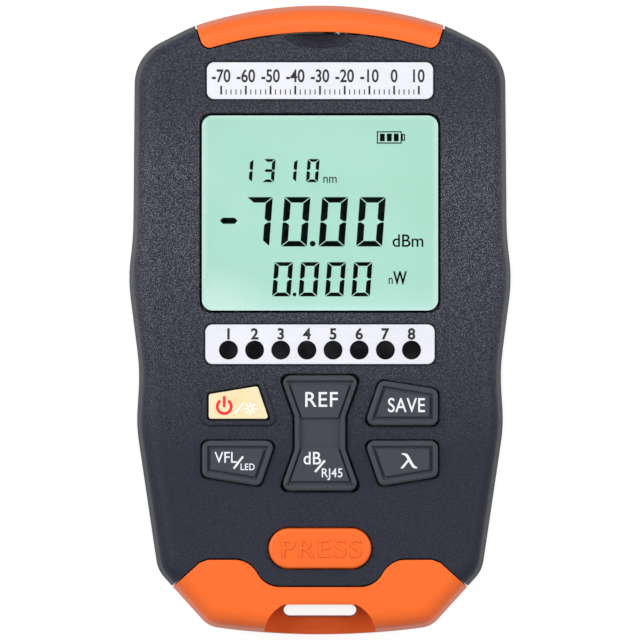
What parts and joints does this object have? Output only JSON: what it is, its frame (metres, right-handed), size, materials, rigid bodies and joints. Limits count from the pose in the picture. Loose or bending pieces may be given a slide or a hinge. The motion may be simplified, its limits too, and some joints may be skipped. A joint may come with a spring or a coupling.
{
  "type": "optical power meter",
  "caption": "Hand-held fibre-optic power meter with display, keypad, port flap and clip-out cable-test remote.",
  "frame": {"origin": "middle of the overall box, at the rear face that the meter lies on", "axes": "+Z out of the display face, +Y towards the port end and its flap, +X to the display's right"},
  "size_m": [0.0746, 0.1228, 0.0282],
  "materials": {
    "case_plastic": "fine spark texture",
    "orange_plastic": "fine satin",
    "black_plastic": "satin",
    "key_rubber": "soft matt",
    "cream_insert": "satin, lets light through",
    "silver_plate": "fine brushed, lacquered",
    "dark_lens": "smoked, glossy",
    "window": "clear, glossy",
    "lcd": "green-white, lit from behind",
    "diffuser": "milky",
    "board": "green lacquer",
    "steel": "plain",
    "nickel": "turned, nickel plated",
    "clear_lens": "clear, glossy",
    "cell_sleeve": "plain shrink sleeve"
  },
  "bodies": {
    "body": {"front_shell": "case_plastic", "rear_shell": "case_plastic", "flap_hinge_pin": "steel", "port_panel": "black_plastic", "cable_jack": "black_plastic", "meter_port": "nickel", "laser_port": "nickel", "photodiode": "nickel", "laser_diode": "nickel", "torch_lamp": "clear_lens", "display_window": "window", "upper_plate": "silver_plate", "indicator_plate": "silver_plate", "indicator_lenses": "dark_lens", "display_backlight": "diffuser", "display_panel": "lcd", "display_frame": "black_plastic", "main_board": "board", "board_screws": "steel", "tact_switches": "black_plastic", "indicator_lamps": "diffuser", "case_screws": "steel", "latch_spring": "steel", "dock_liner": "black_plastic", "battery_cells": "cell_sleeve", "battery_contacts": "steel"},
    "flap": {"top_flap": "orange_plastic"},
    "power_key": {"key_power": "key_rubber", "power_insert": "cream_insert"},
    "save_key": {"key_save": "key_rubber"},
    "torch_key": {"key_torch": "key_rubber"},
    "wavelength_key": {"key_wavelength": "key_rubber"},
    "rocker": {"rocker_key": "key_rubber"},
    "button": {"release_button": "orange_plastic"},
    "remote": {"remote_front": "orange_plastic", "remote_rear": "orange_plastic", "remote_jack": "black_plastic", "remote_board": "board", "remote_screws": "steel"},
    "door": {"battery_door": "case_plastic"}
  },
  "joints": [
    {"name": "flap_hinge", "type": "hinge", "parent": "body", "child": "flap", "pos_m": [0, 0.0584, 0.0022], "axis": [-1, 0, 0], "range_deg": [0, 110]},
    {"name": "power_key_press", "type": "slide", "parent": "body", "child": "power_key", "axis": [0, 0, -1], "range_m": [0, 0.0007], "stiffness_N_per_m": 600},
    {"name": "save_key_press", "type": "slide", "parent": "body", "child": "save_key", "axis": [0, 0, -1], "range_m": [0, 0.0007], "stiffness_N_per_m": 600},
    {"name": "torch_key_press", "type": "slide", "parent": "body", "child": "torch_key", "axis": [0, 0, -1], "range_m": [0, 0.0007], "stiffness_N_per_m": 600},
    {"name": "wavelength_key_press", "type": "slide", "parent": "body", "child": "wavelength_key", "axis": [0, 0, -1], "range_m": [0, 0.0007], "stiffness_N_per_m": 600},
    {"name": "rocker_tilt", "type": "hinge", "parent": "body", "child": "rocker", "pos_m": [0, -0.02197, 0.02135], "axis": [1, 0, 0], "range_deg": [-2.5, 2.5], "stiffness_Nm_per_rad": 0.05},
    {"name": "button_press", "type": "slide", "parent": "body", "child": "button", "axis": [0, 0, -1], "range_m": [0, 0.0011], "stiffness_N_per_m": 800, "deforming": ["latch_spring"]},
    {"name": "remote_slide", "type": "slide", "parent": "body", "child": "remote", "axis": [0, -1, 0], "range_m": [0, 0.02], "deforming": ["latch_spring"]},
    {"name": "door_hinge", "type": "hinge", "parent": "body", "child": "door", "pos_m": [0, -0.0252, 0.0003], "axis": [-1, 0, 0], "range_deg": [0, 60]}
  ]
}
